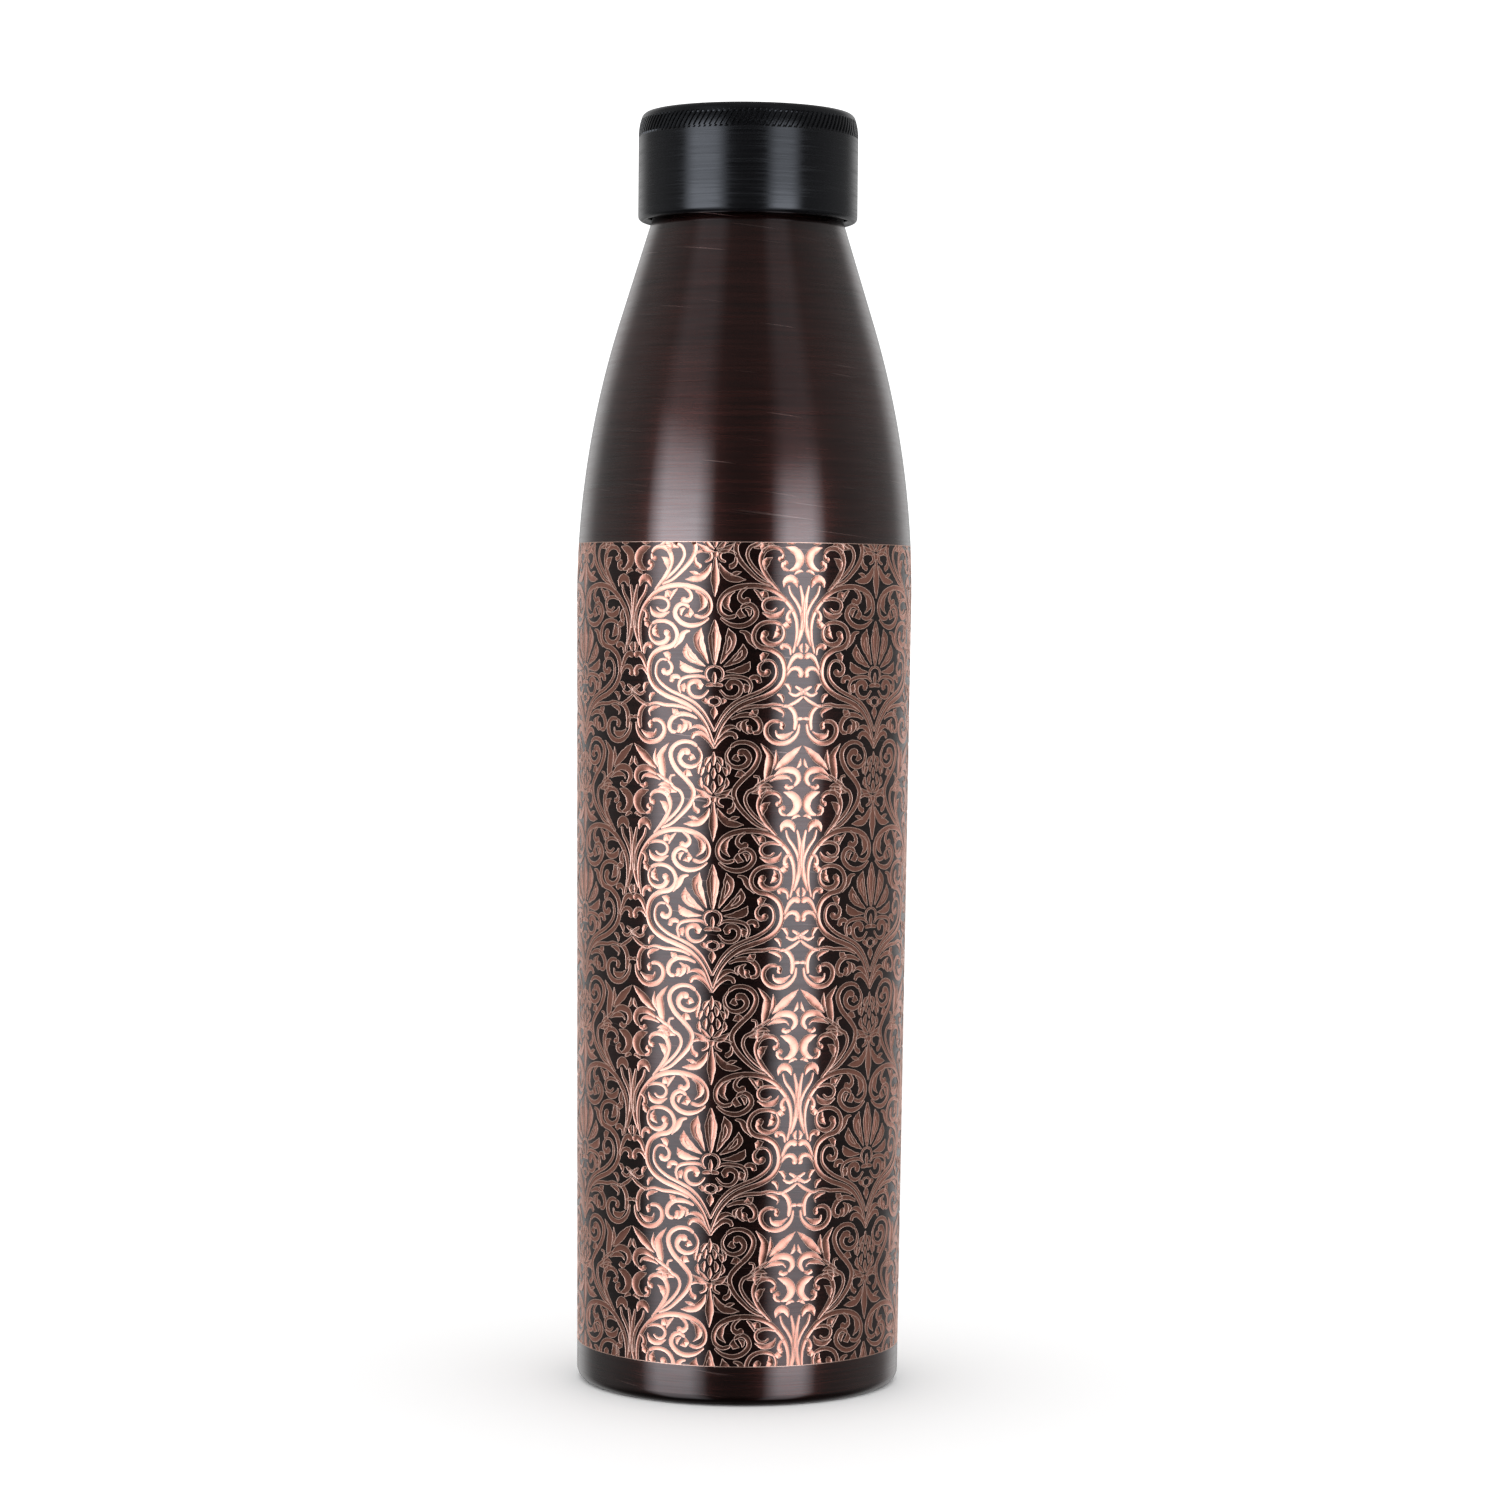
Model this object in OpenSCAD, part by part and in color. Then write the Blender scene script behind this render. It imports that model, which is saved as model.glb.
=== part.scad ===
// Copper water bottle with a screw cap. Millimetres, +Z up, origin at the middle of the foot.

/* [Body] */
// Outer diameter of the body at its widest, where the shoulder starts
body_d = 73.4; // [66:0.2:80]
// Outer diameter of the body at the foot
base_d = 70.6; // [64:0.2:73]
// Height of the foot of the shoulder's curve
shoulder_z = 172.5; // [120:0.5:200]
// Radius of the shoulder's curve, seen from the side
shoulder_r = 202; // [150:1:220]
// Slope of the straight upper shoulder, from upright
shoulder_deg = 17.1; // [15:0.1:20]
// Thickness of the copper sheet
wall = 0.6; // [0.5:0.1:1]
// Outer radius of the rolled foot
foot_r = 2.5; // [1.5:0.1:4]
// Width of the flat lip turned in under the foot
foot_lip = 2.4; // [1:0.1:5]
// Height of the recessed base above the foot
base_lift = 6; // [5:0.5:12]

/* [Neck] */
// Outer diameter of the plain neck
neck_d = 42; // [41.8:0.1:43]
// Height of the plain neck's cut edge
neck_top = 260; // [258:0.1:260.4]
// Radius of the fillet between shoulder and neck
neck_fillet = 2; // [1:0.5:4]
// Height of the drinking lip
lip_z = 274.1; // [273:0.1:274.1]
// Inner diameter of the mouth
mouth_d = 38; // [36:0.5:38.4]

/* [Cap] */
// Outer diameter of the cap
cap_d = 48; // [47.8:0.1:50]
// Height of the cap's lower edge
cap_z = 253.8; // [253.4:0.1:255]
// Height of the cap's top
cap_top = 277.3; // [277.3:0.1:279]
// Thickness of the cap's sheet
cap_wall = 0.6; // [0.4:0.1:0.6]
// Outer radius of the hem rolled in at the lower edge
hem_r = 1.1; // [0.8:0.05:1.1]
// Height of the hem's inner leg
hem_leg = 2.5; // [1:0.1:2.6]
// Radius of the long curve at the cap's upper corner
corner_r = 12; // [11:0.5:13]
// Angle over which that curve turns in
corner_deg = 19; // [17:1:20]
// Radius of the cap's top edge
edge_r = 1.5; // [1.2:0.1:1.6]
// Thickness of the silicone washer
seal_t = 1.75; // [1.2:0.05:1.8]
// Inner diameter of the silicone washer
seal_d = 35; // [30:0.5:37]

/* [Thread] */
// Rise of the thread for one turn
pitch = 4; // [3.6:0.1:4.4]
// Height of a thread ridge above its root
ridge_h = 0.9; // [0.7:0.05:0.95]
// Width of a ridge at its root
ridge_root = 2.4; // [1.6:0.1:2.4]
// Width of a ridge at its crest
ridge_crest = 1.2; // [0.6:0.1:1.2]
// Root diameter of the neck's thread
neck_root_d = 40.2; // [40:0.1:40.4]
// Root diameter of the cap's thread
liner_root_d = 42.8; // [42.6:0.1:43]

/* [Hidden] */
$fn = 96;

body_r = body_d / 2;
base_r = base_d / 2;
neck_r = neck_d / 2;
neck_in = neck_r - wall;
mouth_r = mouth_d / 2;
neck_root = neck_root_d / 2;
liner_root = liner_root_d / 2;
cap_r = cap_d / 2;

// Height at which the neck fillet meets the plain neck
fillet_z = shoulder_z + ((body_r - shoulder_r - neck_r - neck_fillet) * cos(shoulder_deg)
    + shoulder_r + neck_fillet) / sin(shoulder_deg);

// The collar that covers the neck's cut edge, and the stretch of thread above it
collar_t = 1;
thread_z = neck_top + 3;
neck_turns = [0, 1.875];
liner_turns = [-0.5, 1.25];
lip_h = 1.6;
lip_grow = 0.2;
skirt_t = 1;

// The cap's ceiling, and what hangs below it
ceiling_z = cap_top - cap_wall;
disc_t = 0.6;
disc_z = ceiling_z - disc_t;
rest_gap = 0.1;
seal_r = liner_root - 0.3;

// The liner: a plain skirt that clears the neck, then the threaded bore
liner_r = 23;
liner_z = cap_z + hem_r + hem_leg + 0.2;
skirt_clear = 0.4;
step_z = thread_z - 1.2;
flange_z = 270.9;
flange_t = 1.5;
liner_top = 275.7;

ARC_STEPS = 16;
FINE_STEPS = 8;
RIDGE_STEPS = 48;
RIDGE_FADE = 0.08;
RIDGE_SINK = 0.2;

function arc(centre, r, from, to, steps) = [
    for (i = [0:steps])
        let (a = from + (to - from) * i / steps)
        [centre.x + r * cos(a), centre.y + r * sin(a)]
];

function reversed(points) = [for (i = [len(points) - 1:-1:0]) points[i]];

// The body's side from the foot lip up to the neck's edge, a depth t inside the outer surface
function body_side(t) = concat(
    [[base_r - foot_r - foot_lip, t]],
    arc([base_r - foot_r, foot_r], foot_r - t, -90, 0, FINE_STEPS),
    arc([body_r - shoulder_r, shoulder_z], shoulder_r - t, 0, shoulder_deg, ARC_STEPS),
    arc([neck_r + neck_fillet, fillet_z], neck_fillet + t, 180 + shoulder_deg, 180, FINE_STEPS),
    [[neck_r - t, neck_top]]
);

// The cap's outside from the hem up to the middle of the top, a depth t inside the outer surface
function cap_side(t) =
    let (
        knurl_z = cap_top - edge_r * (1 - sin(corner_deg)) - corner_r * sin(corner_deg),
        edge = [
            cap_r - corner_r + (corner_r - edge_r) * cos(corner_deg),
            cap_top - edge_r
        ]
    )
    concat(
        arc([cap_r - hem_r, cap_z + hem_r], hem_r - t, -90, 0, FINE_STEPS),
        arc([cap_r - corner_r, knurl_z], corner_r - t, 0, corner_deg, FINE_STEPS),
        arc(edge, edge_r - t, corner_deg, 90, FINE_STEPS),
        [[0, cap_top - t]]
    );

// The hem's inner leg, from its upper end down and round to the lowest point, at a depth t
function hem_side(t) = concat(
    [[cap_r - 2 * hem_r + t, cap_z + hem_r + hem_leg]],
    arc([cap_r - hem_r, cap_z + hem_r], hem_r - t, 180, 270, FINE_STEPS)
);

// A thread ridge of trapezium section. side is 1 for a ridge that stands out and -1 for one that stands in.
module ridge(root, side, z, turns) {
    steps = ceil((turns[1] - turns[0]) * RIDGE_STEPS);
    rings = [
        for (i = [0:steps])
            let (
                t = turns[0] + (turns[1] - turns[0]) * i / steps,
                fade = min(1, (t - turns[0]) / RIDGE_FADE, (turns[1] - t) / RIDGE_FADE),
                sunk = root - side * RIDGE_SINK,
                crest = sunk + side * (0.1 + (ridge_h + RIDGE_SINK - 0.1) * fade),
                middle = z + pitch * t
            )
            for (p = [
                [sunk, middle - ridge_root / 2],
                [sunk, middle + ridge_root / 2],
                [crest, middle + ridge_crest / 2],
                [crest, middle - ridge_crest / 2]
            ])
            [p.x * cos(360 * t), p.x * sin(360 * t), p.y]
    ];
    sides = [
        for (i = [0:steps - 1])
            for (k = [0:3])
                let (a = 4 * i + k, b = 4 * i + (k + 1) % 4)
                side > 0 ? [a + 4, b + 4, b, a] : [a, b, b + 4, a + 4]
    ];
    first = [3, 2, 1, 0];
    last = [for (k = [0:3]) 4 * steps + k];
    ends = side > 0 ? [reversed(first), reversed(last)] : [first, last];
    polyhedron(rings, concat(sides, ends), convexity = 8);
}

module body_shell() {
    color([0.20, 0.12, 0.10])
        rotate_extrude()
            polygon(concat(body_side(0), reversed(body_side(wall))));
}

module base_cup() {
    rim_r = base_r - wall;
    bend_r = 2;
    outside = concat(
        [[rim_r, foot_r + 0.1]],
        arc([rim_r - bend_r, base_lift - bend_r], bend_r, 0, 90, FINE_STEPS),
        [[0, base_lift]]
    );
    inside = concat(
        [[rim_r - wall, foot_r + 0.1]],
        arc([rim_r - bend_r, base_lift - bend_r], bend_r - wall, 0, 90, FINE_STEPS),
        [[0, base_lift - wall]]
    );
    color([0.62, 0.34, 0.22])
        rotate_extrude()
            polygon(concat(outside, reversed(inside)));
}

module neck_ring() {
    lip_r = neck_root + lip_grow;
    color([0.66, 0.38, 0.25])
        union() {
            rotate_extrude()
                polygon(concat(
                    [
                        [neck_in - skirt_t, fillet_z],
                        [neck_in, fillet_z],
                        [neck_in, neck_top],
                        [neck_r, neck_top],
                        [neck_r, neck_top + collar_t],
                        [neck_root, neck_top + collar_t],
                        [neck_root, lip_z - lip_h],
                        [lip_r, lip_z - lip_h + lip_grow]
                    ],
                    arc([lip_r - lip_h / 2, lip_z - lip_h / 2], lip_h / 2, 0, 90, FINE_STEPS),
                    [
                        [mouth_r + 0.2, lip_z],
                        [mouth_r, lip_z - 0.2],
                        [mouth_r, neck_top],
                        [neck_in - skirt_t, neck_top - skirt_t]
                    ]
                ));
            ridge(neck_root, 1, thread_z, neck_turns);
        }
}

module cap_shell() {
    color([0.07, 0.07, 0.08])
        rotate_extrude()
            polygon(concat(hem_side(0), cap_side(0), reversed(cap_side(cap_wall)), reversed(hem_side(cap_wall))));
}

module cap_liner() {
    shell_in = cap_r - cap_wall;
    color([0.66, 0.38, 0.25])
        union() {
            rotate_extrude()
                polygon([
                    [neck_r + skirt_clear, liner_z],
                    [liner_r, liner_z],
                    [liner_r, flange_z],
                    [shell_in, flange_z],
                    [shell_in, flange_z + flange_t],
                    [liner_r - 0.4, flange_z + flange_t],
                    [liner_r - 0.4, liner_top],
                    [liner_root, liner_top],
                    [liner_root, step_z],
                    [neck_r + skirt_clear, step_z - 0.2]
                ]);
            ridge(liner_root, -1, thread_z + pitch / 2, liner_turns);
        }
}

module cap_disc() {
    color([0.72, 0.42, 0.28])
        translate([0, 0, disc_z])
            cylinder(r = liner_root - 0.1, h = disc_t);
}

module seal() {
    seal_z = lip_z + rest_gap;
    color([0.88, 0.88, 0.86])
        translate([0, 0, seal_z])
            difference() {
                cylinder(r = seal_r, h = seal_t);
                translate([0, 0, -1])
                    cylinder(d = seal_d, h = seal_t + 2);
            }
}

body_shell();
base_cup();
neck_ring();
cap_shell();
cap_liner();
cap_disc();
seal();
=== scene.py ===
"""Copper water bottle with a black screw cap and an etched damask band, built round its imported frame."""

import math

import bmesh
import bpy
from mathutils import Matrix, Vector
from mathutils.geometry import interpolate_bezier


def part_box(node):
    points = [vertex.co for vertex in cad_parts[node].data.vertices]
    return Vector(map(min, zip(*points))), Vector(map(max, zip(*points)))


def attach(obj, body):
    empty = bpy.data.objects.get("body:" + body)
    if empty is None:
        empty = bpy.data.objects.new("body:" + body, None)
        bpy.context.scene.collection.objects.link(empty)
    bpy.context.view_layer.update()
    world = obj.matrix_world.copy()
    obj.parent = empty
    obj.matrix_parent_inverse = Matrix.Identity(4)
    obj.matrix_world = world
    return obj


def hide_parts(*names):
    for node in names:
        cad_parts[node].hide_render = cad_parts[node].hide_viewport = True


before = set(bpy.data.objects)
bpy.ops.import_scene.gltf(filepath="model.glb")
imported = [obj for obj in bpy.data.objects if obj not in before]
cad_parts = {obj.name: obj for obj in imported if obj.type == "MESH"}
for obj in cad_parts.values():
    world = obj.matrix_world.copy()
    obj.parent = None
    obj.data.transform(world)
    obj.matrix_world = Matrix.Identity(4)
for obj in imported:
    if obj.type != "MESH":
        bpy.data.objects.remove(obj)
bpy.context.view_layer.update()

bl_info = {
    "name": "Copper Water Bottle",
    "version": (1, 0, 0),
    "blender": (4, 5, 0),
    "location": "3D View > Sidebar > Bottle",
    "description": "Builds a copper water bottle with an etched band, piece by piece",
    "category": "Add Mesh",
}

MM = 0.001
QUARTER = math.pi / 2
MERGED = 0.001 * MM
SHARP = math.radians(32)

SHELL_LOW, SHELL_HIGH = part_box("body_shell")
RING_LOW, RING_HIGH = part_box("neck_ring")
CAP_LOW, CAP_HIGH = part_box("cap_shell")
LINER_LOW, LINER_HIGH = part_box("cap_liner")
DISC_LOW, DISC_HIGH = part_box("cap_disc")
SEAL_LOW, SEAL_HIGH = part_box("seal")
PAN_LOW, PAN_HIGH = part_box("base_cup")


def length(name, description, default):
    """A length that a user may change, in metres."""
    return bpy.props.FloatProperty(
        name=name, description=description, default=default, unit="LENGTH", precision=5
    )


def angle(name, description, default):
    """An angle that a user may change, given in degrees."""
    return bpy.props.FloatProperty(
        name=name, description=description, default=math.radians(default), subtype="ANGLE"
    )


def colour(name, description, default):
    """A linear colour that a user may change."""
    return bpy.props.FloatVectorProperty(
        name=name, description=description, default=default, subtype="COLOR", size=3, min=0, max=1
    )


def number(name, description, default):
    """A plain number that a user may change."""
    return bpy.props.FloatProperty(name=name, description=description, default=default)


def count(name, description, default):
    """A whole number that a user may change."""
    return bpy.props.IntProperty(name=name, description=description, default=default)


def group(kind, name, description):
    """A group of settings."""
    return bpy.props.PointerProperty(type=kind, name=name, description=description)


class BottleShape(bpy.types.PropertyGroup):
    """The spun body, its foot and its neck."""

    width: length("Width", "Outer diameter at the widest", SHELL_HIGH.x - SHELL_LOW.x)
    foot_width: length("Foot width", "Outer diameter at the foot", 70.6 * MM)
    shoulder_height: length("Shoulder height", "Where the shoulder's curve starts", 172.5 * MM)
    shoulder_radius: length("Shoulder radius", "Radius of the curve, seen from the side", 202 * MM)
    shoulder_slope: angle("Shoulder slope", "Slope of the upper shoulder from upright", 17.1)
    wall: length("Wall", "Thickness of the copper sheet", 0.6 * MM)
    foot_radius: length("Foot radius", "Radius of the rolled foot", 2.5 * MM)
    foot_lip: length("Foot lip", "Width of the lip turned in under the foot", 2.4 * MM)
    neck_width: length("Neck width", "Outer diameter of the plain neck", RING_HIGH.x - RING_LOW.x)
    neck_top: length("Neck top", "Height of the neck's cut edge", SHELL_HIGH.z)
    neck_fillet: length("Neck fillet", "Radius between shoulder and neck", 2 * MM)
    lip_height: length("Lip height", "Height of the drinking lip", RING_HIGH.z)
    mouth_width: length("Mouth width", "Inner diameter of the mouth", 38 * MM)


class CapShape(bpy.types.PropertyGroup):
    """The screw cap and what is inside it."""

    width: length("Width", "Outer diameter of the cap", CAP_HIGH.x - CAP_LOW.x)
    bottom: length("Bottom", "Height of the cap's lower edge", CAP_LOW.z)
    top: length("Top", "Height of the cap's top", CAP_HIGH.z)
    wall: length("Wall", "Thickness of the sheet", 0.6 * MM)
    hem_radius: length("Hem radius", "Outer radius of the rolled hem", 1.1 * MM)
    hem_leg: length("Hem leg", "Height of the hem's inner leg", 2.5 * MM)
    corner_radius: length("Corner radius", "Radius of the long curve under the top edge", 12 * MM)
    corner_turn: angle("Corner turn", "Angle over which that curve leans in", 19)
    edge_radius: length("Edge radius", "Radius of the top edge", 1.5 * MM)
    knurl_bottom: length("Knurl bottom", "Height where the knurl starts", 271.9 * MM)
    knurl_top: length("Knurl top", "Height where the knurl ends", 275.7 * MM)
    knurl_depth: length("Knurl depth", "Depth of a groove", 0.4 * MM)
    knurl_slant: length("Knurl slant", "How far a groove runs round over the knurl's height", 2.2 * MM)
    grooves: count("Grooves", "Grooves in the knurl", 120)
    seal_hole: length("Washer hole", "Inner diameter of the washer", 35 * MM)


class ThreadShape(bpy.types.PropertyGroup):
    """The screw thread between neck and cap."""

    pitch: length("Pitch", "Rise for one turn", 4 * MM)
    height: length("Height", "Height of a ridge", 0.9 * MM)
    root: length("Root", "Width of a ridge at its root", 2.4 * MM)
    crest: length("Crest", "Width of a ridge at its crest", 1.2 * MM)
    neck_width: length("Neck thread", "Root diameter of the neck's thread", 40.2 * MM)
    liner_width: length("Cap thread", "Root diameter of the cap's thread", 42.8 * MM)
    start: length("Start", "Height of the neck thread's first turn", 263 * MM)


class BandShape(bpy.types.PropertyGroup):
    """The etched band. Its drawing is in millimetres on the flat."""

    bottom: length("Bottom", "Height of the band's lower border", 8.6 * MM)
    top: length("Top", "Height of the band's upper border", 183.3 * MM)
    columns: count("Columns", "Repeats round the body", 6)
    first_column: angle("First column", "Where the first column stands, from the front", -9.6)
    tile_width: number("Tile width", "Width of a column, mm", 38.4)
    tile_height: number("Tile height", "Height of a repeat, mm", 51.6)
    first_knot: length("First knot", "Height of the topmost bow", 180.5 * MM)
    depth: length("Depth", "How far the ground is etched below the skin", 0.1 * MM)
    rim: number("Rim", "Width of a bright outline, mm", 0.16)
    crest: number("Crest", "Outline above the ground, mm", 0.086)
    floor: number("Floor", "Inside above the ground, mm", 0.052)
    sunk: number("Sunk", "Foot below the ground, mm", 0.04)


class Finishes(bpy.types.PropertyGroup):
    """The colours of the metals, the lacquer and the washer."""

    antique: colour("Antique copper", "Oxidised brown of the body", (0.024, 0.0095, 0.0082))
    antique_warm: colour("Warm patches", "Redder copper that shows through", (0.066, 0.0190, 0.0150))
    # The outline's copper is paler than the inside's: partly bare copper, partly a painted highlight where
    # the raised edges catch light.
    etched_rim_highlight: colour("Etched outline", "Bright bare copper", (0.94, 0.64, 0.53))
    etched_floor: colour("Etched inside", "Copper inside the outlines", (0.73, 0.335, 0.25))
    raw_copper: colour("Raw copper", "Satin copper of the inner pieces", (0.86, 0.47, 0.33))
    lacquer: colour("Black lacquer", "The cap's black", (0.0028, 0.0028, 0.0034))
    silicone: colour("Silicone", "The washer's white", (0.80, 0.80, 0.78))
    floor: colour("Floor", "The pale floor", (0.90, 0.90, 0.90))


class StageSetup(bpy.types.PropertyGroup):
    """The camera and the studio light."""

    distance: length("Camera distance", "From the bottle's axis", 861.5 * MM)
    height: length("Camera height", "Above the floor", 166.9 * MM)
    sideways: length("Camera offset", "To the right of the axis", 1.58 * MM)
    tilt: angle("Camera tilt", "Down from level", 1.9)
    roll: angle("Camera roll", "Lean of the camera", 0.54)
    lens: number("Lens", "Focal length in mm", 94.1)
    strip_power: number("Strip light", "Radiance of the left strip", 3.75)


class Bottle(bpy.types.PropertyGroup):
    """Everything that a user may change."""

    shape: group(BottleShape, "Body", "The body's sizes")
    cap: group(CapShape, "Cap", "The cap's sizes")
    thread: group(ThreadShape, "Thread", "The thread's sizes")
    band: group(BandShape, "Band", "The etched band")
    finish: group(Finishes, "Finishes", "The colours")
    stage: group(StageSetup, "Stage", "Camera and light")


def settings():
    """What the user has set for this bottle."""
    return bpy.context.scene.bottle


# Shaders


class Value:
    """One value on its way through a material, so that shader maths reads as arithmetic."""

    def __init__(self, paint, socket):
        self.paint = paint
        self.socket = socket

    def math(self, operation, first, second):
        return self.paint.node("Math", {"operation": operation}, {0: first, 1: second})

    def __add__(self, other):
        return self.math("ADD", self, other)

    def __radd__(self, other):
        return self.math("ADD", other, self)

    def __sub__(self, other):
        return self.math("SUBTRACT", self, other)

    def __rsub__(self, other):
        return self.math("SUBTRACT", other, self)

    def __mul__(self, other):
        return self.math("MULTIPLY", self, other)

    def __rmul__(self, other):
        return self.math("MULTIPLY", other, self)


class Paint:
    """The node tree of a new material, or of a world that is handed in."""

    def __init__(self, name, world=None):
        self.material = world or bpy.data.materials.new(name)
        self.material.use_nodes = True
        self.tree = self.material.node_tree

    def node(self, kind, settings=None, values=None, output=0):
        """Adds a node, sets it up, feeds its sockets and returns one of its outputs."""
        made = self.tree.nodes.new("ShaderNode" + kind)
        for name, setting in (settings or {}).items():
            setattr(made, name, setting)
        for key, value in (values or {}).items():
            self.feed(made.inputs[key], value)
        return Value(self, made.outputs[output])

    def feed(self, socket, value):
        """Links a value to a socket, or sets a constant there."""
        if isinstance(value, Value):
            self.tree.links.new(value.socket, socket)
        else:
            socket.default_value = value

    def surface(self, **values):
        """Feeds the main shader: Base_Color is its socket Base Color."""
        for name, value in values.items():
            self.feed(self.tree.nodes["Principled BSDF"].inputs[name.replace("_", " ")], value)

    def place(self, kind="Object"):
        """The three object coordinates, or in a world the three parts of a direction."""
        where = self.node("TexCoord", output=kind)
        split = self.node("SeparateXYZ", values={0: where})
        outputs = split.socket.node.outputs
        return [Value(self, outputs[axis]) for axis in "XYZ"]

    def noise(self, vector, detail=2.0, roughness=0.5):
        """Soft noise from 0 to 1."""
        values = {"Vector": vector, "Scale": 1.0, "Detail": detail, "Roughness": roughness}
        return self.node("TexNoise", values=values)

    def cloud(self, around, up, detail=2.0):
        """Noise with one scale across the bottle and another up it."""
        x, y, z = self.place()
        vector = self.node("CombineXYZ", values={0: x * around, 1: y * around, 2: z * up})
        return self.noise(vector, detail)

    def ramp(self, value, low, high):
        """value stretched so that low becomes 0 and high becomes 1."""
        values = {"Value": value, "From Min": low, "From Max": high}
        return self.node("MapRange", {"clamp": True}, values)

    def blend(self, share, first, second):
        """A colour between two."""
        settings = {"data_type": "RGBA", "clamp_factor": True}
        return self.node("Mix", settings, {"Factor": share, 6: first, 7: second}, output=2)

    def bump(self, height, distance, strength=1.0):
        """A normal from a height in metres."""
        return self.node("Bump", values={"Height": height, "Distance": distance, "Strength": strength})

    def brushing(self, coarse, along):
        """Fine lines that run round the bottle's axis, on its side and on its top.

        coarse is the scale across the lines and along is the scale on their way round."""
        x, y, z = self.place()
        radius = self.node("Math", {"operation": "SQRT"}, {0: x * x + y * y})
        across = (z + radius) * coarse
        vector = self.node("CombineXYZ", values={0: x * along, 1: y * along, 2: across})
        return self.noise(vector, detail=4.0, roughness=0.62)


def rgba(tint, share=1.0):
    """A colour as a node takes it, darker where share is under 1."""
    return (*(part * share for part in tint), 1.0)


SCRATCHED = (0.3, 0.2, 0.18)


def antique_copper(name, finish, share, coat=1.0):
    """Oxidised copper under clear lacquer, brushed round, with redder patches and a few scratches.

    share darkens its colours, and coat thins the lacquer."""
    paint = Paint(name)
    brushed = paint.brushing(2400, 60)
    streak = paint.brushing(1500, 45)
    warm = paint.ramp(paint.cloud(22, 26, 3) * 0.6 + streak * 0.4, 0.40, 0.62)
    tint = paint.blend(warm, rgba(finish.antique, share), rgba(finish.antique_warm, share))
    x, y, z = paint.place()
    slant = paint.node("CombineXYZ", values={0: x * 70, 1: y * 70, 2: z * 2300 + x * 260})
    scratch = paint.ramp(paint.noise(slant, detail=0), 0.80, 0.86)
    paint.surface(
        Base_Color=paint.blend(scratch * 0.4, tint, rgba(SCRATCHED)),
        Metallic=1.0,
        Roughness=paint.ramp(streak, 0.3, 0.7) * 0.10 + 0.26,
        Coat_Weight=paint.ramp(brushed, 0.25, 0.6) * (coat * 0.25) + coat * 0.75,
        Coat_Roughness=0.115,
        Coat_IOR=1.85,
        Normal=paint.bump(brushed - scratch * 0.3, 0.05 * MM),
    )
    return paint.material


def etched_copper(name, tint, roughness, grain_depth, metal=1.0):
    """Bare copper of the etched band, finely grained and dull in patches."""
    paint = Paint(name)
    grain = paint.cloud(900, 900)
    dull = paint.ramp(paint.cloud(60, 60), 0.45, 0.75)
    paint.surface(
        Base_Color=paint.blend(dull * 0.6, rgba(tint), rgba(tint, 0.7)),
        Metallic=metal,
        Roughness=grain * 0.14 + roughness,
        Normal=paint.bump(grain, grain_depth, 0.8),
    )
    return paint.material


def satin_copper(name, tint):
    """Clean copper with a spun satin finish and browner stains."""
    paint = Paint(name)
    brushed = paint.brushing(900, 22)
    stains = paint.ramp(paint.cloud(50, 50, 3), 0.45, 0.8)
    stained = tuple(part * share for part, share in zip(tint, (0.62, 0.5, 0.46)))
    paint.surface(
        Base_Color=paint.blend(stains * 0.7, rgba(tint), rgba(stained)),
        Metallic=1.0,
        Roughness=paint.ramp(brushed, 0.2, 0.8) * 0.15 + 0.22,
        Normal=paint.bump(brushed, 0.01 * MM, 0.8),
    )
    return paint.material


def black_lacquer(finish, top):
    """Black lacquer over brushed metal, duller on its flat top."""
    paint = Paint("black_lacquer")
    brushed = paint.brushing(2300, 50)
    worn = paint.ramp(brushed, 0.5, 0.75)
    z = paint.place()[2]
    flat = paint.ramp(z, top - 0.5 * MM, top - 0.05 * MM)
    paint.surface(
        Base_Color=paint.blend(worn, rgba(finish.lacquer), rgba(finish.lacquer, 1.7)),
        Metallic=0.0,
        Roughness=paint.ramp(brushed, 0.35, 0.65) * 0.16 + flat * 0.2 + 0.13,
        IOR=1.5,
        Specular_Tint=(0.90, 0.94, 1.0, 1.0),
        Normal=paint.bump(brushed, 0.012 * MM),
    )
    return paint.material


def soft_silicone(finish):
    """Milky silicone rubber."""
    paint = Paint("silicone")
    fine = paint.cloud(700, 700)
    paint.surface(
        Base_Color=paint.blend(fine, rgba(finish.silicone), rgba(finish.silicone, 0.86)),
        Roughness=fine * 0.15 + 0.45,
        Subsurface_Weight=0.25,
        Subsurface_Scale=1.5 * MM,
        Normal=paint.bump(fine, 0.01 * MM, 0.5),
    )
    return paint.material


def pale_floor(finish):
    """A plain pale floor with the faintest mottle."""
    paint = Paint("pale_floor")
    paint.surface(
        Base_Color=paint.blend(paint.cloud(6, 1), rgba(finish.floor), rgba(finish.floor, 0.985)),
        Roughness=0.7,
    )
    return paint.material


# Outlines, as lists of (radius, height) in metres


def arc(centre, radius, start, end, steps):
    """Points on an arc from one angle to another, in radians."""
    turns = [start + (end - start) * i / steps for i in range(steps + 1)]
    return [(centre[0] + radius * math.cos(t), centre[1] + radius * math.sin(t)) for t in turns]


def between(first, last, steps):
    """Points on the line from first to last, without its ends."""
    shares = [i / steps for i in range(1, steps)]
    return [tuple(a + (b - a) * share for a, b in zip(first, last)) for share in shares]


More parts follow.
